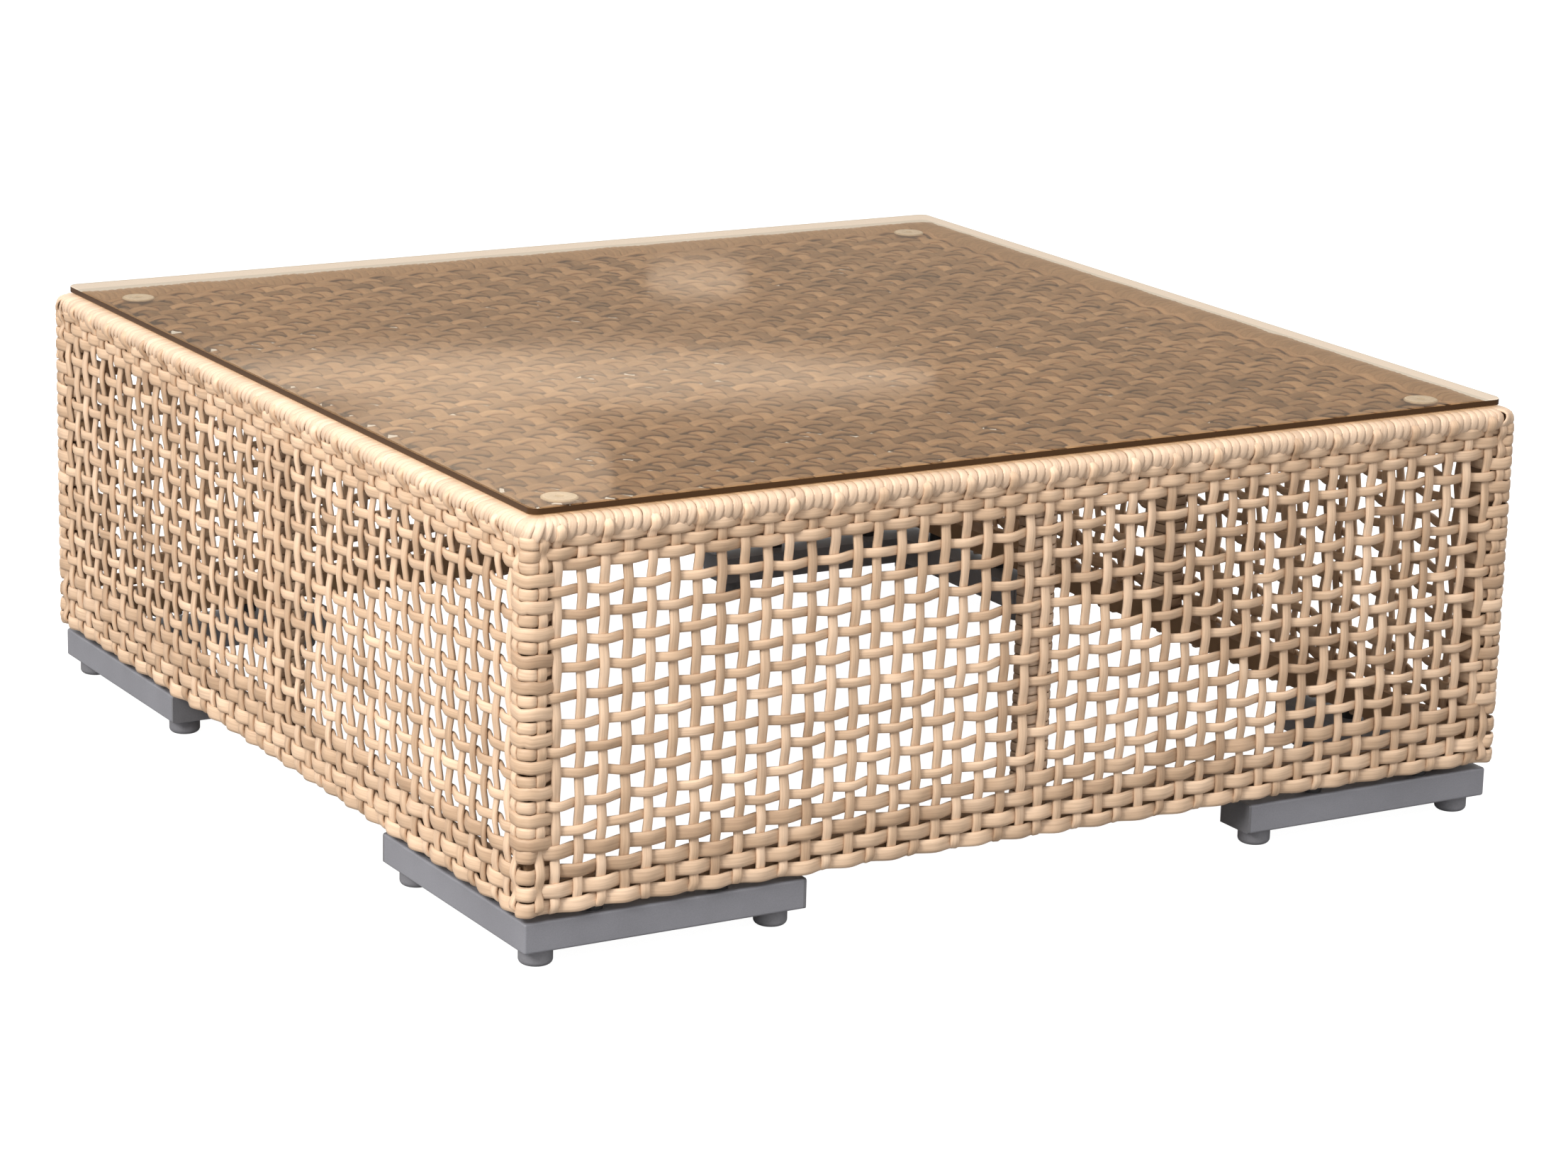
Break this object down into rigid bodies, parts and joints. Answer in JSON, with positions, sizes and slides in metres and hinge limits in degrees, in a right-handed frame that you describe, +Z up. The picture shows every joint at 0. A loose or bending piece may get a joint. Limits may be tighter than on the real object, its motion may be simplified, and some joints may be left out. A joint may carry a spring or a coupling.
{
  "type": "wicker coffee table",
  "caption": "Square low table: woven strand body on a tube frame, loose glass top on bumpers, L-shaped metal feet with screw-in levellers.",
  "frame": {"origin": "centre of the table's footprint, on the floor", "axes": "+Z up, front towards -Y, left towards -X; the four sides are alike"},
  "size_m": [0.9, 0.9, 0.348],
  "materials": {
    "frame_tube": "satin brown powder coat on square tube",
    "wicker": "ribbed satin resin strand, light tan with darker streaks",
    "glass": "polished bronze-tinted tempered glass, ground edge",
    "bumper": "clear soft plastic disc",
    "foot_metal": "grey satin powder coat",
    "leveller": "moulded grey plastic",
    "end_cap": "moulded dark grey plastic",
    "hardware": "zinc-plated steel"
  },
  "bodies": {
    "table": {"top_rail_front": "frame_tube", "bottom_rail_front": "frame_tube", "top_rail_right": "frame_tube", "bottom_rail_right": "frame_tube", "top_rail_back": "frame_tube", "bottom_rail_back": "frame_tube", "top_rail_left": "frame_tube", "bottom_rail_left": "frame_tube", "corner_post_front_left": "frame_tube", "corner_post_front_right": "frame_tube", "corner_post_back_right": "frame_tube", "corner_post_back_left": "frame_tube", "mid_post_front": "frame_tube", "mid_post_right": "frame_tube", "mid_post_back": "frame_tube", "mid_post_left": "frame_tube", "deck_bar_front": "frame_tube", "deck_bar_back": "frame_tube", "side_weave_front": "wicker", "side_weave_right": "wicker", "side_weave_back": "wicker", "side_weave_left": "wicker", "corner_wrap_front_left": "wicker", "corner_wrap_front_right": "wicker", "corner_wrap_back_right": "wicker", "corner_wrap_back_left": "wicker", "rim_wrap_front": "wicker", "rim_wrap_right": "wicker", "rim_wrap_back": "wicker", "rim_wrap_left": "wicker", "deck_weave": "wicker", "glass_bumpers": "bumper", "foot_front_left_along_front": "foot_metal", "foot_front_left_along_left": "foot_metal", "foot_front_right_along_right": "foot_metal", "foot_front_right_along_front": "foot_metal", "foot_back_right_along_back": "foot_metal", "foot_back_right_along_right": "foot_metal", "foot_back_left_along_left": "foot_metal", "foot_back_left_along_back": "foot_metal", "foot_spacers": "hardware", "rail_weld_nuts": "hardware", "foot_screws": "hardware", "foot_rivet_nuts": "hardware", "foot_end_caps": "end_cap"},
    "glass": {"glass_top": "glass"},
    "leveller_front_left_along_front": {"leveller_front_left_along_front": "leveller"},
    "leveller_front_left_corner": {"leveller_front_left_corner": "leveller"},
    "leveller_front_left_along_left": {"leveller_front_left_along_left": "leveller"},
    "leveller_front_right_along_right": {"leveller_front_right_along_right": "leveller"},
    "leveller_front_right_corner": {"leveller_front_right_corner": "leveller"},
    "leveller_front_right_along_front": {"leveller_front_right_along_front": "leveller"},
    "leveller_back_right_along_back": {"leveller_back_right_along_back": "leveller"},
    "leveller_back_right_corner": {"leveller_back_right_corner": "leveller"},
    "leveller_back_right_along_right": {"leveller_back_right_along_right": "leveller"},
    "leveller_back_left_along_left": {"leveller_back_left_along_left": "leveller"},
    "leveller_back_left_corner": {"leveller_back_left_corner": "leveller"},
    "leveller_back_left_along_back": {"leveller_back_left_along_back": "leveller"}
  },
  "joints": [
    {"name": "glass_lift", "type": "slide", "parent": "table", "child": "glass", "axis": [0, 0, 1], "range_m": [0, 0.15]},
    {"name": "screw_out_front_left_along_front", "type": "slide", "parent": "table", "child": "leveller_front_left_along_front", "axis": [0, 0, -1], "range_m": [0, 0.008]},
    {"name": "screw_out_front_left_corner", "type": "slide", "parent": "table", "child": "leveller_front_left_corner", "axis": [0, 0, -1], "range_m": [0, 0.008]},
    {"name": "screw_out_front_left_along_left", "type": "slide", "parent": "table", "child": "leveller_front_left_along_left", "axis": [0, 0, -1], "range_m": [0, 0.008]},
    {"name": "screw_out_front_right_along_right", "type": "slide", "parent": "table", "child": "leveller_front_right_along_right", "axis": [0, 0, -1], "range_m": [0, 0.008]},
    {"name": "screw_out_front_right_corner", "type": "slide", "parent": "table", "child": "leveller_front_right_corner", "axis": [0, 0, -1], "range_m": [0, 0.008]},
    {"name": "screw_out_front_right_along_front", "type": "slide", "parent": "table", "child": "leveller_front_right_along_front", "axis": [0, 0, -1], "range_m": [0, 0.008]},
    {"name": "screw_out_back_right_along_back", "type": "slide", "parent": "table", "child": "leveller_back_right_along_back", "axis": [0, 0, -1], "range_m": [0, 0.008]},
    {"name": "screw_out_back_right_corner", "type": "slide", "parent": "table", "child": "leveller_back_right_corner", "axis": [0, 0, -1], "range_m": [0, 0.008]},
    {"name": "screw_out_back_right_along_right", "type": "slide", "parent": "table", "child": "leveller_back_right_along_right", "axis": [0, 0, -1], "range_m": [0, 0.008]},
    {"name": "screw_out_back_left_along_left", "type": "slide", "parent": "table", "child": "leveller_back_left_along_left", "axis": [0, 0, -1], "range_m": [0, 0.008]},
    {"name": "screw_out_back_left_corner", "type": "slide", "parent": "table", "child": "leveller_back_left_corner", "axis": [0, 0, -1], "range_m": [0, 0.008]},
    {"name": "screw_out_back_left_along_back", "type": "slide", "parent": "table", "child": "leveller_back_left_along_back", "axis": [0, 0, -1], "range_m": [0, 0.008]}
  ]
}
